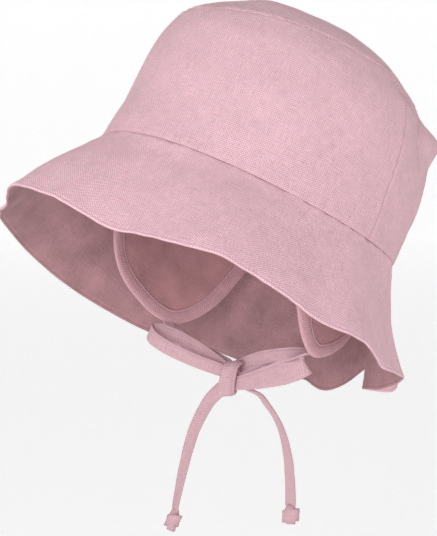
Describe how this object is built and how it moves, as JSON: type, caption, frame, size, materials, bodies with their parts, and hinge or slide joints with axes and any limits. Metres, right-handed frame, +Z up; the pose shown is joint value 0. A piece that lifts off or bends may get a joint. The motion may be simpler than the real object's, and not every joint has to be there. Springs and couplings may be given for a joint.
{
  "type": "baby sun bonnet",
  "caption": "Baby sun bonnet in pale linen: soft crown, wide drooping brim, ear flaps inside with bound edges, and tape ties in a bow under the chin.",
  "frame": {"origin": "on the head, at the underside of the crown top, where the head carries the bonnet", "axes": "+Z up as worn, the front at -Y, the wearer's left at +X"},
  "size_m": [0.1885, 0.2205, 0.2588],
  "materials": {
    "linen": "matte plain-woven linen",
    "flap_linen": "matte plain-woven linen",
    "tape": "matte linen tape, folded and stitched"
  },
  "bodies": {
    "root": {"crown_tip": "linen", "crown_front_panel": "linen", "crown_back_panel": "linen", "brim": "linen", "ear_flap_left": "flap_linen", "ear_flap_right": "flap_linen", "flap_binding_left": "tape", "flap_binding_right": "tape", "chin_tape_left": "tape", "chin_tape_right": "tape", "bow_knot": "tape", "bow_loop_right": "tape", "bow_loop_left": "tape", "tape_end_right": "tape", "tape_end_left": "tape", "end_knot_right": "tape", "end_knot_left": "tape"}
  },
  "joints": []
}
